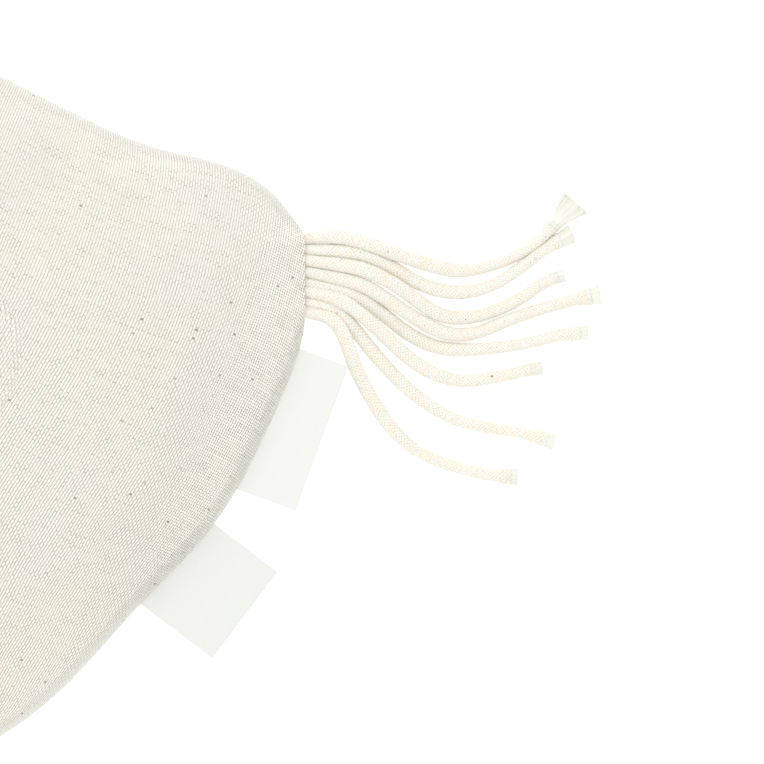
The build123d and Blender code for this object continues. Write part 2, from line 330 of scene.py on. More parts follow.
def cotton_cord_finish():
    """Braided ecru cotton, with painted tan shade in its crevices, fine fibres and a rare dark seed."""
    f = Finish("cotton_cord")
    lay = f.values("braid_lay")
    run, cosine, sine = f.parts(lay)
    turn = sine.math("ARCTAN2", sine, cosine) * (BRAID_STRANDS / (2 * math.pi))
    right, left = turn + run * (BRAID_STRANDS / BRAID_LEAD), turn - run * (BRAID_STRANDS / BRAID_LEAD)
    place = f.vector(run, cosine * (CORD / 2), sine * (CORD / 2))
    uneven = 1.5 * (f.cloud(place, 800.0) - 0.5)
    wave = (right * math.pi).sine() * (left * math.pi).sine()
    right_back = ridge(right + uneven) * (0.56 + 0.44 * wave)
    left_back = ridge(left + uneven) * (0.56 - 0.44 * wave)
    height = right_back.larger(left_back)
    fibres = f.cloud(f.vector(run * 1400.0, cosine * 9.0, sine * 9.0), 1.0)
    patch = f.cloud(place, 160.0)
    cream = f.mix(patch.step(0.35, 0.7), colour(0.935, 0.93, 0.86), colour(0.935, 0.905, 0.81))
    # Painted shade in the braid's crevices, tinted warm as by light bounced between the strands.
    painted_crevice_shade = f.mix(patch.step(0.4, 0.65), colour(0.66, 0.61, 0.49), colour(0.74, 0.59, 0.43))
    base = f.mix((height + 0.5 * (f.cloud(place, 2600.0) - 0.5)).step(0.05, 0.8), painted_crevice_shade, cream)
    base = f.mix(0.25 * fibres.step(0.35, 0.7), base, colour(0.96, 0.95, 0.90))
    seed = f.cloud(place, 900.0, 0.0).step(0.845, 0.875)
    base = f.mix(seed * 0.8, base, colour(0.16, 0.13, 0.10))
    return f.surface(
        Base_Color=base,
        Roughness=0.95 - 0.1 * height,
        Sheen_Weight=0.1,
        Subsurface_Weight=0.3,
        Subsurface_Radius=(1.0, 0.8, 0.55),
        Subsurface_Scale=1.2 * MM,
        Normal=f.relief(height + 0.2 * fibres, 0.12 * MM),
    )


def cotton_fibre_finish():
    """Loose combed cotton at the cut ends."""
    f = Finish("cotton_fibre")
    strand, _, _ = f.parts(f.values("fibre_lay"))
    base = f.mix(strand, colour(0.79, 0.79, 0.71), colour(0.875, 0.875, 0.80))
    return f.surface(
        Base_Color=base,
        Roughness=0.97 - 0.05 * strand,
        Sheen_Weight=0.1,
    )


RIBBON_PITCH = 0.42 * MM


def ribbon_finish(name, shade):
    """White satin-faced ribbon: fine threads along it, crossed by finer ones."""
    f = Finish(name)
    lay = f.values("ribbon_lay")
    across, along, _ = f.parts(lay)
    threads = ridge(across / RIBBON_PITCH)
    picks = ridge(along / (RIBBON_PITCH * 0.8) + 0.5 * (across / RIBBON_PITCH).floor())
    height = threads * (0.7 + 0.3 * picks)
    cloud = f.cloud(lay, 60.0)
    # Painted shade in the hollows between the ribbon's threads.
    painted_hollow_shade = colour(0.775 * shade, 0.795 * shade, 0.755 * shade)
    back = colour(0.835 * shade, 0.85 * shade, 0.80 * shade)
    warmer = colour(0.84 * shade, 0.835 * shade, 0.775 * shade)
    base = f.mix(height.step(0.1, 0.8), painted_hollow_shade, back)
    base = f.mix(cloud.step(0.3, 0.7) * 0.4, base, warmer)
    return f.surface(
        Base_Color=base,
        Roughness=0.72 - 0.1 * height,
        Sheen_Weight=0.1,
        Normal=f.relief(height, 0.03 * MM),
    )


def thread_finish():
    """Twisted sewing thread."""
    f = Finish("sewing_thread")
    x, y, z = f.parts(f.object_place())
    twist = ((x + y + z) * (2 * math.pi / (0.7 * MM))).sine() * 0.5 + 0.5
    # Painted shade in the grooves of the twist, where its relief is low.
    base = f.mix(twist, colour(0.58, 0.55, 0.46), colour(0.76, 0.74, 0.66))
    return f.surface(Base_Color=base, Roughness=0.7 + 0.1 * twist, Normal=f.relief(twist, 0.05 * MM))


def muslin_finish(name, pitch, light, dark):
    """A plain weave in the object's own axes, for the cloth inside."""
    f = Finish(name)
    x, y, z = f.parts(f.object_place())
    warp, weft = x / pitch, (y + z) / pitch
    wave = (warp * math.pi).sine() * (weft * math.pi).sine()
    height = (ridge(warp) * (0.5 + 0.5 * wave)).larger(ridge(weft) * (0.5 - 0.5 * wave))
    # Painted shade: the dark colour where the weave's relief is low, the light one on the threads' backs.
    base = f.mix(height.step(0.1, 0.7), dark, light)
    return f.surface(Base_Color=base, Roughness=0.95 - 0.1 * height, Normal=f.relief(height, 0.1 * MM))


def herb_finish():
    """Dried leaves, stalks and grain."""
    f = Finish("dried_herbs")
    place = f.object_place()
    grain = f.node("ShaderNodeTexVoronoi", inputs={"Vector": place, "Scale": 420.0})
    leaf = f.cloud(place, 130.0, 4.0)
    base = f.mix(leaf.step(0.35, 0.65), colour(0.20, 0.22, 0.09), colour(0.46, 0.37, 0.18))
    base = f.mix(grain.step(0.0, 0.5) * 0.5, base, colour(0.55, 0.47, 0.28))
    return f.surface(Base_Color=base, Roughness=0.9 + 0.05 * leaf, Normal=f.relief(grain, 1.0 * MM))


linen = linen_finish()
cotton_cord = cotton_cord_finish()
cotton_fibre = cotton_fibre_finish()
long_ribbon = ribbon_finish("long_ribbon", 0.98)
# The square label's ribbon is the same ribbon painted darker: painted shade.
shaded_square_ribbon = ribbon_finish("shaded_square_ribbon", 0.945)
sewing_thread = thread_finish()


# ======== Cords: braided cotton, 3.5 mm thick, from the mouth to their frayed ends ========

BRAID_DEPTH = 0.32 * MM      # from the backs of the strands down to the crevices
BRAID_PROUD = 0.20 * MM      # how far the backs stand out of the cord's mean size
BRAID_AROUND = 72            # points round a cord
POINTS_TO_A_RUN = 30         # points along a cord between two points of its route
BRAID_UNEVEN = 0.05          # share by which a cord's thickness wavers
UNEVEN_RATE = 90             # waverings to the metre
CORD_CLEARANCE = 0.1 * MM    # lowest point of a cord above the floor

CORD_ROUTES = [
    [(0.1500, 0.0502, 0.0207), (0.160, 0.0516, 0.0207), (0.169, 0.0496, 0.0186), (0.179, 0.0461, 0.0134),
     (0.189, 0.0426, 0.0080), (0.199, 0.0405, 0.0040), (0.209, 0.0427, 0.00175), (0.218, 0.0469, 0.00175),
     (0.2237, 0.0512, 0.0021), (0.2274, 0.0555, 0.0026)],
    [(0.1500, 0.0472, 0.0202), (0.161, 0.0470, 0.0200), (0.170, 0.0456, 0.0168), (0.179, 0.0416, 0.0110),
     (0.1875, 0.0361, 0.0064), (0.198, 0.0340, 0.0030), (0.208, 0.0359, 0.00175), (0.217, 0.0417, 0.00175),
     (0.2253, 0.0485, 0.00175), (0.2292, 0.0503, 0.00175)],
    [(0.1500, 0.0442, 0.0207), (0.161, 0.0429, 0.0207), (0.170, 0.0413, 0.0184), (0.1785, 0.0372, 0.0136),
     (0.186, 0.0317, 0.0084), (0.193, 0.0270, 0.0044), (0.202, 0.0267, 0.00175), (0.2105, 0.0293, 0.00175),
     (0.218, 0.0332, 0.00175), (0.2245, 0.0382, 0.00175), (0.2284, 0.0392, 0.00175)],
    [(0.1500, 0.0409, 0.0203), (0.161, 0.0389, 0.0202), (0.170, 0.0366, 0.0172), (0.178, 0.0314, 0.0118),
     (0.186, 0.0260, 0.0070), (0.1945, 0.0216, 0.0034), (0.2035, 0.0219, 0.00175), (0.212, 0.0256, 0.00175),
     (0.222, 0.0292, 0.00175), (0.232, 0.0321, 0.00175), (0.2383, 0.0334, 0.00175)],
    [(0.1500, 0.0375, 0.0199), (0.1605, 0.0355, 0.0194), (0.1685, 0.0330, 0.0160), (0.176, 0.0275, 0.0104),
     (0.1835, 0.0215, 0.0058), (0.192, 0.0175, 0.0028), (0.2015, 0.0170, 0.00175), (0.211, 0.0179, 0.00175),
     (0.220, 0.0194, 0.00175), (0.229, 0.0218, 0.00175), (0.235, 0.0223, 0.00175)],
    [(0.1500, 0.0347, 0.0207), (0.159, 0.0336, 0.0207), (0.1655, 0.0305, 0.0192), (0.1715, 0.0256, 0.0156),
     (0.178, 0.0195, 0.0112), (0.1845, 0.0135, 0.0070), (0.192, 0.0092, 0.0036), (0.2005, 0.0074, 0.00175),
     (0.209, 0.0088, 0.00175), (0.2165, 0.0105, 0.00175), (0.2214, 0.0114, 0.00175)],
    [(0.1500, 0.0317, 0.0202), (0.1584, 0.0306, 0.0199), (0.1636, 0.0273, 0.0178), (0.168, 0.0221, 0.0144),
     (0.1736, 0.0151, 0.0102), (0.1805, 0.0075, 0.0060), (0.1885, 0.0009, 0.0030), (0.1975, -0.0042, 0.00175),
     (0.2065, -0.0061, 0.00175), (0.2145, -0.0072, 0.00175), (0.2215, -0.0089, 0.00175),
     (0.2249, -0.0099, 0.00175)],
    [(0.1500, 0.0288, 0.0207), (0.1583, 0.0276, 0.0207), (0.1624, 0.0243, 0.0203), (0.1648, 0.0190, 0.0184),
     (0.1670, 0.0124, 0.0152), (0.1706, 0.0048, 0.0110), (0.1758, -0.0037, 0.0068), (0.1826, -0.0114, 0.0034),
     (0.191, -0.0162, 0.00175), (0.200, -0.0189, 0.00175), (0.2085, -0.0208, 0.00175),
     (0.214, -0.0210, 0.00175)],
]
# Each cord's length, and its cut end: how far the braid opens there, and the loose fibres' length,
# spread (sideways run for each unit of length) and turn to the left in degrees.
CORD_LENGTHS = [0.0905, 0.0895, 0.0889, 0.0973, 0.0926, 0.0830, 0.0913, 0.0906]
CORD_ENDS = [
    (0.22, 7.6 * MM, 0.32, -4),
    (0.30, 3.4 * MM, 0.14, 4),
    (0.08, 1.6 * MM, 0.06, 0),
    (0.45, 2.4 * MM, 0.25, 0),
    (0.18, 2.0 * MM, 0.10, 0),
    (0.14, 1.8 * MM, 0.08, 0),
    (0.30, 2.0 * MM, 0.15, -10),
    (0.30, 1.8 * MM, 0.15, 0),
]
OPEN_LENGTH = 6.0 * MM       # stretch over which the braid opens

PRESSED_FROM = 5 * MM        # stretch of each cord that is pressed flatter against its neighbours
PRESSED_RISE = 8 * MM
PRESSED_TO = 66 * MM
PRESSED_FALL = 18 * MM
PRESSED_WIDER = 0.17         # shares by which a pressed cord is wider and lower than a round one
PRESSED_LOWER = 0.12


def read_line(name, route):
    """The points along the smooth line that a route's points steer."""
    data = bpy.data.curves.new(name, "CURVE")
    data.dimensions = "3D"
    data.resolution_u = POINTS_TO_A_RUN
    spline = data.splines.new("NURBS")
    spline.points.add(len(route) - 1)
    for point, place in zip(spline.points, route):
        point.co = (*place, 1)
    spline.order_u = 3
    spline.use_endpoint_u = True
    line = bpy.data.objects.new(name, data)
    mesh = bpy.data.meshes.new_from_object(line)
    points = points_of(mesh)
    bpy.data.objects.remove(line)
    return points


def frames_along(line):
    """Direction and two sideways directions at each point, turned as little as possible."""
    ahead = np.gradient(line, axis=0)
    ahead /= np.linalg.norm(ahead, axis=1, keepdims=True)
    side = np.cross(UP, ahead[0])
    sides = []
    for direction in ahead:
        side = side - direction * side.dot(direction)
        side /= np.linalg.norm(side)
        sides.append(side)
    sides = np.array(sides)
    return ahead, sides, np.cross(ahead, sides)


def braid_relief(run, turn):
    """Height from 0 to 1 of a tubular braid, at a length run and an angle turn."""
    right = (BRAID_STRANDS * turn + 2 * np.pi * BRAID_STRANDS * run / BRAID_LEAD) / (2 * np.pi)
    left = (BRAID_STRANDS * turn - 2 * np.pi * BRAID_STRANDS * run / BRAID_LEAD) / (2 * np.pi)
    wave = np.sin(np.pi * right) * np.sin(np.pi * left)
    right_back = np.sqrt(np.maximum(1 - (2 * (right % 1) - 1) ** 2, 0)) * (0.5 + 0.5 * wave)
    left_back = np.sqrt(np.maximum(1 - (2 * (left % 1) - 1) ** 2, 0)) * (0.5 - 0.5 * wave)
    return np.maximum(right_back, left_back)


def make_cord(number, route, end):
    """One braided cord and its frayed end."""
    name = f"cord_{number}"
    opening, fibre_length, spread, turn_left = end
    line = read_line(name + "_line", route)
    ahead, sides, ups = frames_along(line)
    run = np.concatenate([[0], np.cumsum(np.linalg.norm(np.diff(line, axis=0), axis=1))])
    turn = np.arange(BRAID_AROUND) * 2 * np.pi / BRAID_AROUND
    run_grid, turn_grid = np.meshgrid(run, turn, indexing="ij")
    relief = braid_relief(run_grid, turn_grid)
    uneven = np.array([noise.noise(Vector((place * UNEVEN_RATE, number * 7.3, 0))) for place in run])
    opened = 1 + opening * smooth(1 - (run[-1] - run) / OPEN_LENGTH)
    thickness = (opened * (1 + BRAID_UNEVEN * uneven))[:, None]
    radius = (CORD / 2 + BRAID_PROUD - BRAID_DEPTH * (1 - relief)) * thickness
    pressed = smooth((run - PRESSED_FROM) / PRESSED_RISE) * smooth((PRESSED_TO - run) / PRESSED_FALL)
    across = sides[:, None] * np.cos(turn)[None, :, None] * (1 + PRESSED_WIDER * pressed)[:, None, None]
    upright = ups[:, None] * np.sin(turn)[None, :, None] * (1 - PRESSED_LOWER * pressed)[:, None, None]
    ring = across + upright
    points = line[:, None] + ring * radius[:, :, None]
    points[:, :, 2] = np.maximum(points[:, :, 2], CORD_CLEARANCE)
    faces = tube_faces(len(run), len(turn))
    cord = make_piece(f"braided_{name}", points.reshape(-1, 3), faces, cotton_cord)
    lay = np.stack([run_grid + number, np.cos(turn_grid), np.sin(turn_grid)], axis=-1)
    add_values(cord.data, "braid_lay", lay.reshape(-1, 3))
    tuft = make_tuft(number, line[-1], ahead[-1], fibre_length, spread, turn_left, opening)
    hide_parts(name)
    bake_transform(cord)
    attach(tuft, "tassel")


FIBRE = 0.05 * MM            # radius of a single fibre
FIBRE_POINTS = 5
FIBRE_AROUND = 3
FIBRE_CLEARANCE = 0.05 * MM  # lowest point of the loose cotton above the floor
TUFT_AROUND = 96
TUFT_RINGS = 14
LONG_TUFT = 6 * MM           # a brush this long is as ragged and as flat as any
TUFT_CAP = 5                 # rings that round the brush off
TUFT_DOME = 0.14             # how far the rounded end reaches, as a share of the length
TUFT_START = 1.5 * MM        # how far inside the cord's end the loose cotton starts


def tuft_place(shape, share, angle, reach):
    """A point of the loose cotton: share of its length, angle round it and reach from its middle."""
    tip, ahead, side, way, width, spread, length = shape
    along = share * (length + TUFT_START) - TUFT_START
    bend = float(smooth(share))
    centre = tip + (ahead * (1 - bend) + way * bend) * along
    sideways = (width + spread * max(along, 0)) * reach
    upright = width * (1 - 0.45 * bend * min(length / LONG_TUFT, 1)) * reach
    return centre + side * math.cos(angle) * sideways + UP * math.sin(angle) * upright


def make_tuft(number, tip, ahead, length, spread, turn_left, opening):
    """The loose cotton at a cord's cut end: a soft brush with a ragged edge and single fibres."""
    chance = random.Random(100 + number)
    ahead = Vector((ahead[0], ahead[1], 0)).normalized()
    side = UP.cross(ahead)
    way = ahead * math.cos(math.radians(turn_left)) + side * math.sin(math.radians(turn_left))
    shape = (Vector(tip), ahead, side, way, CORD / 2 * (1 + opening) * 1.02, spread, length)
    raggedness = 0.05 + 0.10 * min(length / LONG_TUFT, 1)
    points, lays = [], []
    for ring in range(TUFT_RINGS + TUFT_CAP):
        share = min(ring / (TUFT_RINGS - 1), 1)
        closed = max(ring - TUFT_RINGS + 1, 0) / TUFT_CAP
        for step in range(TUFT_AROUND):
            angle = 2 * math.pi * step / TUFT_AROUND
            lock = noise.noise(Vector((math.cos(angle) * 2.3, math.sin(angle) * 2.3, number * 5.7)))
            strand = noise.noise(Vector((math.cos(angle) * 13, math.sin(angle) * 13, number * 3.3)))
            ragged = raggedness * (lock + 0.5 * strand) * (1 - closed)
            far = share * (1 + ragged * share) + TUFT_DOME * closed
            reach = (1 + 0.05 * strand * share) * math.sqrt(1 - closed * closed)
            points.append(tuft_place(shape, far, angle, reach))
            lays.append((min(max(0.55 + strand * 1.3, 0), 1), 0, 0))
    faces = tube_faces(TUFT_RINGS + TUFT_CAP, TUFT_AROUND)
    for _ in range(int(40 + 25 * length / MM)):
        angle = chance.uniform(0, 2 * math.pi)
        start = chance.uniform(0.35, 0.8)
        end = chance.uniform(0.95, 1.15)
        reach = chance.uniform(0.85, 1.0)
        lift = chance.uniform(-0.02, 0.08)
        bend = chance.uniform(-0.12, 0.12)
        first = len(points)
        for step in range(FIBRE_POINTS):
            share = step / (FIBRE_POINTS - 1)
            far = start + (end - start) * share
            centre = tuft_place(shape, far, angle + bend * share, reach + lift * share)
            thick = FIBRE * (1 - 0.6 * share)
            for corner in range(FIBRE_AROUND):
                turn = 2 * math.pi * corner / FIBRE_AROUND
                points.append(centre + side * math.cos(turn) * thick + UP * math.sin(turn) * thick)
                lays.append((0.8, 0, 0))
        for face in tube_faces(FIBRE_POINTS, FIBRE_AROUND):
            faces.append(tuple(first + corner for corner in face))
    for point in points:
        point.z = max(point.z, FIBRE_CLEARANCE)
    tuft = make_piece(f"frayed_end_{number}", points, faces, cotton_fibre)
    add_values(tuft.data, "fibre_lay", lays)
    return tuft


for cord_number, (cord_route, cord_length, cord_end) in enumerate(
    zip(CORD_ROUTES, CORD_LENGTHS, CORD_ENDS), 1
):
    make_cord(cord_number, cord_route, cord_end)


# ======== Cushion: the linen cover, swollen by its filling ========

MIDDLE = Vector((12 * MM, 6 * MM, 0))
SEAM_HEIGHT = 20 * MM
RINGS = 34                   # rings of each panel, from the seam to the middle
COLUMNS = 280                # points round the seam
FULL_LEVEL = 23.64 * MM      # a level where the cover is whole all round
FULL_LEVEL_SIZE = 0.985      # size of the outline there
FAR = 0.4                    # from where the cushion's faces are looked for
SEAM_AT_MOUTH = 152.2 * MM   # X of the seam where the cords come out
TIP_FROM = 120 * MM          # X beyond which the seam belongs to the tip
TIP_CROWDING = 0.35          # how much closer together the seam's points are round the tip

front_tree = BVHTree.FromObject(nodes["front_cover"], bpy.context.evaluated_depsgraph_get())
back_tree = BVHTree.FromObject(nodes["back_cover"], bpy.context.evaluated_depsgraph_get())
mouth_low, mouth_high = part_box("cord_roots")


def corner_angle(y):
    """Direction from the middle to a corner of the mouth."""
    return math.atan2(y - MIDDLE.y, mouth_high.x - MIDDLE.x)


def seam_angles():
    """Directions of the seam's points, closer together round the tip."""
    steps = np.arange(COLUMNS) / COLUMNS * 2 * np.pi
    tip = corner_angle((mouth_low.y + mouth_high.y) / 2)
    return tip + steps - TIP_CROWDING * np.sin(steps)


def seam_radius(angle):
    """Distance from the middle to the seam."""
    way = Vector((math.cos(angle), math.sin(angle), 0))
    start = MIDDLE + way * FAR + UP * FULL_LEVEL
    hit = front_tree.ray_cast(start, -way)[0]
    return (hit - MIDDLE - UP * FULL_LEVEL).length / FULL_LEVEL_SIZE


def panel_height(tree, size, side):
    """Height of a panel's outer face on the ring of this size, found opposite the tip."""
    place = Vector((MIDDLE.x - size * seam_radius(math.pi), MIDDLE.y, 0))
    hit = tree.ray_cast(place + UP * side * FAR, -UP * side)[0]
    return hit.z if hit else SEAM_HEIGHT


angles = seam_angles()
radii = np.array([seam_radius(angle) for angle in angles])
seam_x = MIDDLE.x + radii * np.cos(angles)
seam_y = MIDDLE.y + radii * np.sin(angles)
in_mouth = smooth((np.minimum(seam_y - mouth_low.y, mouth_high.y - seam_y)) / (2.0 * MM) + 0.3)
in_mouth = in_mouth * (np.abs(seam_x - SEAM_AT_MOUTH) < 6 * MM)

LIP = 0.45 * MM              # half the thickness of the seam's two folded edges
GROOVE = 1.5 * MM            # depth of the groove between them
MOUTH_TOP = 2.7 * MM         # how far the lips open over and under the cords
MOUTH_BOTTOM = 4.7 * MM
MOUTH_DEPTH = 7.0 * MM
MOUTH_INNER = 0.6            # how far the lips open at the bottom of the groove, as a share
MOUTH_SIDE = 10 * MM         # how far beyond the mouth's corners the seam is still not pressed flat
beyond = np.maximum(np.maximum(mouth_low.y - seam_y, seam_y - mouth_high.y), 0)
mouth_share = smooth(1 - beyond / MOUTH_SIDE) * (seam_x > TIP_FROM)


def cover_rings():
    """Rings of points from the middle of the front panel, over the seam, to the middle of the back."""
    sizes = np.sin(np.pi / 2 * (np.arange(RINGS) + 0.6) / RINGS)
    rings = []
    for size in sizes:
        rings.append(panel_ring(front_tree, size, 1, LIP + in_mouth * MOUTH_TOP))
    rings.append(ring_at(1.0, SEAM_HEIGHT + LIP + in_mouth * (MOUTH_TOP - LIP)))
    groove_size = 1 - (GROOVE + in_mouth * MOUTH_DEPTH) / radii
    rings.append(ring_at(groove_size, SEAM_HEIGHT + in_mouth * MOUTH_TOP * MOUTH_INNER))
    rings.append(ring_at(groove_size, SEAM_HEIGHT - 0.1 * MM - in_mouth * MOUTH_BOTTOM * MOUTH_INNER))
    rings.append(ring_at(1.0, SEAM_HEIGHT - LIP - in_mouth * (MOUTH_BOTTOM - LIP)))
    for size in reversed(sizes):
        rings.append(panel_ring(back_tree, size, -1, LIP + in_mouth * MOUTH_BOTTOM))
    return rings


def ring_at(size, height):
    """A ring of the outline at one size, or one size to each column, and a height."""
    x = MIDDLE.x + size * radii * np.cos(angles)
    y = MIDDLE.y + size * radii * np.sin(angles)
    return np.stack([x, y, np.broadcast_to(height, x.shape)], axis=1)


def panel_ring(tree, size, side, stand_off):
    """A ring on a panel, at least as far from the seam's level as its lip."""
    stands = side * (panel_height(tree, size, side) - SEAM_HEIGHT)
    return ring_at(size, SEAM_HEIGHT + side * np.hypot(stands, stand_off))


def from_middle(ring):
    """How far out from the middle each point of a ring lies, seen from above."""
    return np.linalg.norm(ring[:, :2] - np.array(MIDDLE)[:2], axis=1)


def stride(ring, rings):
    """Only every second, fourth or eighth point is used on the rings nearest a middle."""
    depth = min(ring, rings - 1 - ring)
    return 8 if depth < 2 else 4 if depth < 4 else 2 if depth < 8 else 1


def cover_faces(rings):
    """Faces between the rings and a fan at each middle, all facing outwards."""
    faces = []
    for ring in range(rings - 1):
        near, far = stride(ring, rings), stride(ring + 1, rings)
        wide = max(near, far)
        for step in range(0, COLUMNS, wide):
            low = [ring * COLUMNS + place % COLUMNS for place in range(step, step + wide + 1, near)]
            high = [(ring + 1) * COLUMNS + place % COLUMNS for place in range(step + wide, step - 1, -far)]
            faces.append(low + high)
    top, bottom = rings * COLUMNS, rings * COLUMNS + 1
    last = (rings - 1) * COLUMNS
    wide = stride(0, rings)
    for step in range(0, COLUMNS, wide):
        after = (step + wide) % COLUMNS
        faces.append((top, after, step))
        faces.append((bottom, last + step, last + after))
    return [tuple(reversed(face)) for face in faces]


def drop_unused_points(mesh):
    """Delete the points that no face uses."""
    work = bmesh.new()
    work.from_mesh(mesh)
    unused = [vertex for vertex in work.verts if not vertex.link_faces]
    bmesh.ops.delete(work, geom=unused, context="VERTS")
    work.to_mesh(mesh)
    work.free()


def add_middles(rings):
    """All the points of the cover, with the two middles last."""
    points = np.concatenate(rings)
    top = [MIDDLE.x, MIDDLE.y, rings[0][:, 2].mean()]
    bottom = [MIDDLE.x, MIDDLE.y, rings[-1][:, 2].mean()]
    return np.concatenate([points, [top, bottom]])


WEAVE_TURN = math.radians(27.5)   # the warp leans this far from +Y towards +X
WEAVE_SWIRL = (124 * MM, 54 * MM, 67 * MM, math.radians(-13))   # centre's X and Y, reach, turn
EDGE_WIDTH = 3.6 * MM             # band along the seam where the threads run together, painted paler there as light


def cloth_lay(rings):
    """Where each point lies on its panel when that is spread flat, along and across the threads."""
    seam = RINGS + 1
    lay = []
    for side_rings in (rings[:seam], rings[seam:][::-1]):
        before = side_rings[0]
        reach = from_middle(before)
        flat = [reach.copy()]
        for ring in side_rings[1:]:
            reach = reach + np.linalg.norm(ring - before, axis=1)
            flat.append(reach.copy())
            before = ring
        lay.append(flat)
    reaches = lay[0] + lay[1][::-1]
    places = []
    for reach in reaches:
        x, y = MIDDLE.x + reach * np.cos(angles), MIDDLE.y + reach * np.sin(angles)
        places.append(np.stack([x, y], axis=1))
    places.append(np.array([MIDDLE[:2], MIDDLE[:2]]))
    flat = swirl(np.concatenate(places), *WEAVE_SWIRL)
    cosine, sine = math.cos(WEAVE_TURN), math.sin(WEAVE_TURN)
    across = flat[:, 0] * cosine - flat[:, 1] * sine
    along = flat[:, 0] * sine + flat[:, 1] * cosine
    inside = np.array([from_middle(ring) for ring in rings])
    edge = smooth(1 - (radii - inside) / EDGE_WIDTH) * (1 - mouth_share)
    return np.stack([across, along, np.append(edge, [0, 0])], axis=1)


def swirl(places, x, y, reach, most):
    """Turn the cloth about a centre, less and less with the distance from it."""
    centre = np.array([x, y])
    away = places - centre
    turn = most * np.exp(-((away ** 2).sum(1)) / reach ** 2)
    x = away[:, 0] * np.cos(turn) - away[:, 1] * np.sin(turn)
    y = away[:, 0] * np.sin(turn) + away[:, 1] * np.cos(turn)
    return centre + np.stack([x, y], axis=1)


SIM_VOXEL = 5 * MM
SIM_START_INSET = 1.2 * MM
SIM_PRESSURE = 4.0
SIM_FRAMES = 20
SIM_CAP = 3 * MM             # furthest that a point moves
SIM_QUALITY = 6
SIM_SHRINK = -0.03           # the cloth grows by this share
SEAM_BAND = 4 * MM           # cloth this near the seam's level is held by it
SEAM_HOLD = 0.9
SWELL_WIDTH = 0.22           # share of the panel over which the swelling starts from the seam
SWELL_REACH = 10 * MM        # how far outside the cover the swollen form is looked for


def swollen_tree(points, faces):
    """The cover's form after its cloth has taken the filling's pressure."""
    mesh = bpy.data.meshes.new("swelling")
    mesh.from_pydata([tuple(point) for point in points], [], faces)
    piece = bpy.data.objects.new("swelling", mesh)
    scene.collection.objects.link(piece)
    remesh = piece.modifiers.new("even", "REMESH")
    remesh.mode = "VOXEL"
    remesh.voxel_size = SIM_VOXEL
    depsgraph = bpy.context.evaluated_depsgraph_get()
    even = bpy.data.meshes.new_from_object(piece.evaluated_get(depsgraph))
    piece.modifiers.clear()
    piece.data = even
    normals = np.array([tuple(vertex.normal) for vertex in even.vertices])
    start = points_of(even) - normals * SIM_START_INSET
    even.vertices.foreach_set("co", start.ravel())
    held = piece.vertex_groups.new(name="seam")
    for index, height in enumerate(start[:, 2]):
        if abs(height - SEAM_HEIGHT) < SEAM_BAND:
            held.add([index], SEAM_HOLD, "REPLACE")
    cloth = piece.modifiers.new("cloth", "CLOTH")
    settings = cloth.settings
    settings.quality = SIM_QUALITY
    settings.use_pressure = True
    settings.uniform_pressure_force = SIM_PRESSURE
    settings.shrink_min = SIM_SHRINK
    settings.vertex_group_mass = "seam"
    settings.effector_weights.gravity = 0
    for number in range(1, SIM_FRAMES + 1):
        scene.frame_set(number)
    end = points_of(piece.evaluated_get(bpy.context.evaluated_depsgraph_get()).data)
    moved = end - start
    far = np.linalg.norm(moved, axis=1, keepdims=True)
    moved *= np.minimum(1, SIM_CAP / np.maximum(far, 1e-9))
    polygons = [tuple(polygon.vertices) for polygon in even.polygons]
    tree = BVHTree.FromPolygons([Vector(point) for point in start + moved], polygons)
    bpy.data.objects.remove(piece)
    scene.frame_set(1)
    return tree


def make_cover():
    """The linen cover as one closed skin, front and back, joined at the seam."""
    rings = cover_rings()
    points = add_middles(rings)
    faces = cover_faces(len(rings))
    cover = make_piece("linen_cover", points, faces, linen)
    normals = np.array([tuple(vertex.normal) for vertex in cover.data.vertices])
    lay = cloth_lay(rings)
    sizes = np.concatenate([from_middle(ring) / radii for ring in rings] + [[0, 0]])
    free = smooth((1 - sizes) / SWELL_WIDTH)
    upright = np.outer(np.where(points[:, 2] > SEAM_HEIGHT, 1, -1), np.array(UP))
    near_edge = smooth((sizes - 0.3) / 0.3)[:, None]
    ways = normals * near_edge + upright * (1 - near_edge)
    tree = swollen_tree(points, faces)
    for index, (point, way, share) in enumerate(zip(points, ways, free)):
        if share > 0:
            start = Vector(point) + Vector(way) * SWELL_REACH
            hit = tree.ray_cast(start, -Vector(way), 2.5 * SWELL_REACH)[0]
            if hit:
                points[index] = point + share * (np.array(hit) - point)
    columns = np.concatenate([np.tile(np.arange(COLUMNS), len(rings)), [0, 0]])
    points += ways * hand_of_cloth(points, sizes, columns)[:, None]
    points[:, 2] = np.maximum(points[:, 2], 0)
    cover.data.vertices.foreach_set("co", points.ravel())
    add_values(cover.data, "cloth_lay", lay)
    drop_unused_points(cover.data)
    finer = cover.modifiers.new("finer", "SUBSURF")
    finer.levels = 1
    finer.render_levels = 1
    finer.use_limit_surface = False
    depsgraph = bpy.context.evaluated_depsgraph_get()
    fine = bpy.data.meshes.new_from_object(cover.evaluated_get(depsgraph))
    cover.modifiers.clear()
    cover.data = fine
    cover.data.shade_smooth()
    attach(cover, "cushion")
    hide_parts("front_cover", "back_cover")


PUCKER_DEPTH = 0.5 * MM
PUCKER_SPACING = 7 * MM
DENT_DEPTH = 0.7 * MM
DENT_SPACING = 45 * MM


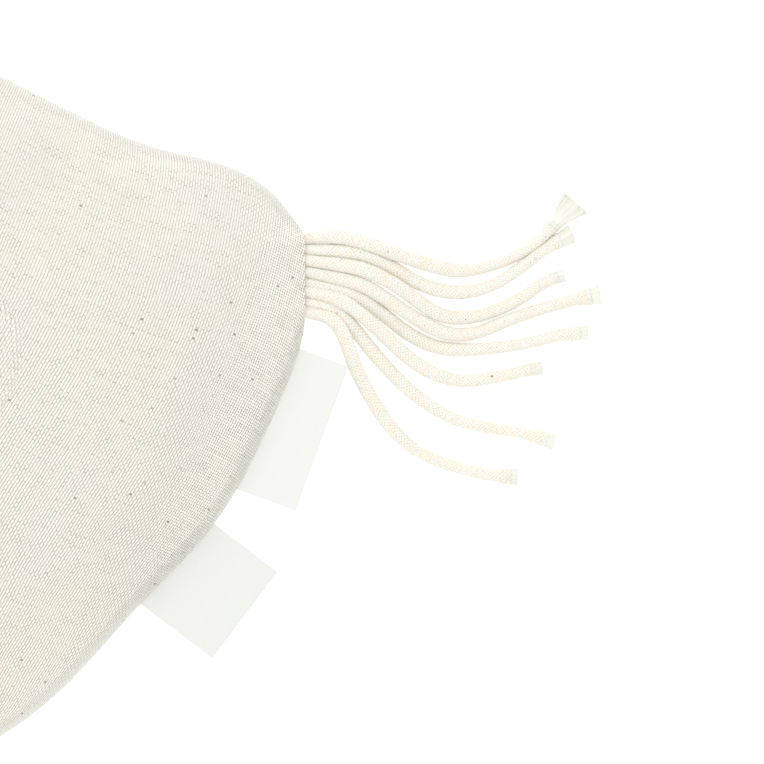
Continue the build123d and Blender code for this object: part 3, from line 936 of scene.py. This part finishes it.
def hand_of_cloth(points, sizes, columns):
    """How far each point stands out: small puckers at the seam, and soft dents over the filling."""
    run = np.cumsum(np.hypot(np.diff(seam_x, append=seam_x[0]), np.diff(seam_y, append=seam_y[0])))
    pucker = np.array([noise.noise(Vector((place / PUCKER_SPACING, 0.5, 0))) for place in run])
    near_seam = smooth(1 - (1 - sizes) / 0.12) * smooth((1 - sizes) / 0.015)
    dent = np.array([noise.noise(Vector(point) / DENT_SPACING) for point in points])
    return pucker[columns] * near_seam * PUCKER_DEPTH + dent * DENT_DEPTH * smooth((1 - sizes) / 0.1)


make_cover()


# ======== Labels: folded ribbons, caught in the seam ========

RIBBON = 0.22 * MM           # thickness of one layer
FOLD_RADIUS = 0.26 * MM
LABEL_STEPS = 30             # steps from the seam to the fold
LABEL_COLUMNS = 40
LABEL_DROOP = 0.5 * MM       # how far the fold hangs down
LABEL_WAVE = 0.5 * MM
CRISP = math.radians(60)     # an edge that turns more than this stays sharp
TURN_STEPS = 6
CAUGHT = 2.5 * MM            # how far a label's visible piece runs into the seam


def label_corners(node, joint):
    """A label's plan: where it starts beside the seam and ends at its fold, on its two sides."""
    along = Vector(joint["axis"]).normalized()
    out = along.cross(UP)
    middle = Vector(joint["pos_m"])
    if (middle - MIDDLE).dot(out) < 0:
        out = -out
    corners = {}
    for vertex in nodes[node].data.vertices:
        away = vertex.co - middle
        corners[(round(away.dot(along), 5), round(away.dot(out), 5))] = None
    found = sorted(corners)
    left = sorted(found[: len(found) // 2], key=lambda corner: corner[1])
    right = sorted(found[len(found) // 2:], key=lambda corner: corner[1])
    return middle, along, out, left[0], left[-1], right[0], right[-1]


def fold_path(depth):
    """Out along the upper layer, round the fold, and back along the lower one."""
    straight = depth - FOLD_RADIUS
    upper = [(straight * step / LABEL_STEPS, FOLD_RADIUS) for step in range(LABEL_STEPS + 1)]
    turn = []
    for step in range(1, TURN_STEPS):
        angle = math.pi * step / TURN_STEPS
        turn.append((straight + FOLD_RADIUS * math.sin(angle), FOLD_RADIUS * math.cos(angle)))
    lower = [(straight * step / LABEL_STEPS, -FOLD_RADIUS) for step in range(LABEL_STEPS, -1, -1)]
    return upper + turn + lower


def make_label(node, piece_name, joint_name, seed, finish):
    """A ribbon folded once at its outer edge, with both ends in the seam."""
    middle, along, out, left_in, left_out, right_in, right_out = label_corners(node, joints[joint_name])
    depth = (left_out[1] + right_out[1]) / 2
    path = fold_path(depth + CAUGHT)
    path_array = np.array(path)
    direction = np.gradient(path_array, axis=0)
    direction /= np.linalg.norm(direction, axis=1, keepdims=True)
    outward = np.stack([-direction[:, 1], direction[:, 0]], axis=1)
    points, lays = [], []
    run = np.concatenate([[0], np.cumsum(np.linalg.norm(np.diff(path_array, axis=0), axis=1))])
    for layer in (0.5, -0.5):
        for (reach, height), (push_out, push_up), length in zip(path, outward, run):
            reach = reach + push_out * RIBBON * layer
            height = height + push_up * RIBBON * layer
            share_out = (reach - CAUGHT) / depth
            for column in range(LABEL_COLUMNS + 1):
                share = column / LABEL_COLUMNS
                end_place = left_out[0] + (right_out[0] - left_out[0]) * share
                end_depth = left_out[1] + (right_out[1] - left_out[1]) * share
                start_place = left_in[0] + (right_in[0] - left_in[0]) * share
                place = start_place + (end_place - start_place) * max(share_out, -0.2)
                out_reach = share_out * end_depth if share_out > 0 else reach - CAUGHT
                wave = noise.noise(Vector((share * 1.6, share_out * 0.8, seed)))
                sag = max(share_out, 0) ** 2
                rise = height - LABEL_DROOP * sag + wave * LABEL_WAVE * smooth(share_out * 2)
                points.append(middle + along * place + out * out_reach + UP * rise)
                lays.append((place, length, layer))
    rows, width = len(path), LABEL_COLUMNS + 1
    faces = []
    half = rows * width
    for row in range(rows - 1):
        for column in range(width - 1):
            first = row * width + column
            faces.append((first, first + 1, first + 1 + width, first + width))
            faces.append((half + first, half + first + width, half + first + 1 + width, half + first + 1))
    for row in range(rows - 1):
        first, last = row * width, row * width + width - 1
        faces.append((first, first + width, half + first + width, half + first))
        faces.append((last, half + last, half + last + width, last + width))
    for column in range(width - 1):
        first, last = column, (rows - 1) * width + column
        faces.append((first, half + first, half + first + 1, first + 1))
        faces.append((last, last + 1, half + last + 1, half + last))
    label = make_piece(piece_name, points, faces, finish)
    sharpen(label)
    add_values(label.data, "ribbon_lay", lays)
    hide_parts(node, node + "_tab")
    tuple(middle - out * 0.6 * MM)
    tuple(middle + out * 1.6 * MM)
    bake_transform(label)


def sharpen(piece):
    """Keep the cut edges of a ribbon crisp, and make its faces agree on which side is out."""
    shape = bmesh.new()
    shape.from_mesh(piece.data)
    bmesh.ops.recalc_face_normals(shape, faces=shape.faces)
    for edge in shape.edges:
        if len(edge.link_faces) == 2 and edge.calc_face_angle() > CRISP:
            edge.smooth = False
    shape.to_mesh(piece.data)
    shape.free()


LONG_FLAT, LONG_SEED = (0.046, 0.037), 3.1
SQUARE_FLAT, SQUARE_SEED = (0.0325, 0.055), 8.4
make_label(
    "long_label", "long_ribbon_label", "long_label_fold",
    LONG_SEED, long_ribbon,
)
make_label(
    "square_label", "square_ribbon_label", "square_label_fold",
    SQUARE_SEED, shaded_square_ribbon,
)


# ======== Finishes of the pieces inside, and of the closing stitches ========

muslin = muslin_finish("muslin", 0.9 * MM, colour(0.80, 0.77, 0.68), colour(0.45, 0.42, 0.35))
cotton_tape = muslin_finish("cotton_tape", 0.5 * MM, colour(0.78, 0.76, 0.70), colour(0.5, 0.48, 0.42))
dried_herbs = herb_finish()
plain_cord = muslin_finish("caught_cord", 0.8 * MM, colour(0.80, 0.765, 0.66), colour(0.62, 0.52, 0.38))
NODE_FINISHES = {
    "seam_needle_thread": sewing_thread,
    "seam_bobbin_thread": sewing_thread,
    "closing_stitches": sewing_thread,
    "pouch_thread": sewing_thread,
    "root_stitches": sewing_thread,
    "pouch_front": muslin,
    "pouch_back": muslin,
    "herb_filling": dried_herbs,
    "root_tape": cotton_tape,
    "cord_roots": plain_cord,
}
for node_name, node_finish in NODE_FINISHES.items():
    nodes[node_name].data.materials.clear()
    nodes[node_name].data.materials.append(node_finish)


# ======== Floor and light ========

FLOOR_HALF = 4.0
FLOOR_LEVEL = -0.05 * MM
FLOOR_GLOW = 0.40
SKY_STRENGTH = 1.03
LAMP_POWER = 5.0
LAMP_SIZE = 1.4
LAMP_PLACE = (-0.35, 0.8, 1.3)
LAMP_AIM = Vector((0.15, 0, 0))


def make_floor():
    f = Finish("floor")
    cloud = f.cloud(f.object_place(), 3.0)
    base = f.mix(cloud, colour(0.90, 0.90, 0.90), colour(0.92, 0.92, 0.92))
    material = f.surface(
        Base_Color=base,
        Roughness=0.9,
        Emission_Color=colour(1.0, 1.0, 1.0),
        Emission_Strength=FLOOR_GLOW,
    )
    half = FLOOR_HALF
    corners = [(-half, -half, 0), (half, -half, 0), (half, half, 0), (-half, half, 0)]
    floor = make_piece("floor", corners, [(0, 1, 2, 3)], material)
    floor.location.z = FLOOR_LEVEL


def make_light():
    world = bpy.data.worlds.new("studio")
    world.use_nodes = True
    background = world.node_tree.nodes["Background"]
    background.inputs["Color"].default_value = colour(1.0, 1.0, 1.0)
    background.inputs["Strength"].default_value = SKY_STRENGTH
    scene.world = world
    lamp = bpy.data.lights.new("softbox", "AREA")
    lamp.energy = LAMP_POWER
    lamp.size = LAMP_SIZE
    softbox = bpy.data.objects.new("softbox", lamp)
    softbox.location = LAMP_PLACE
    softbox.rotation_euler = (LAMP_AIM - softbox.location).to_track_quat("-Z", "Y").to_euler()
    scene.collection.objects.link(softbox)


make_floor()
make_light()
scene.view_settings.view_transform = "Standard"
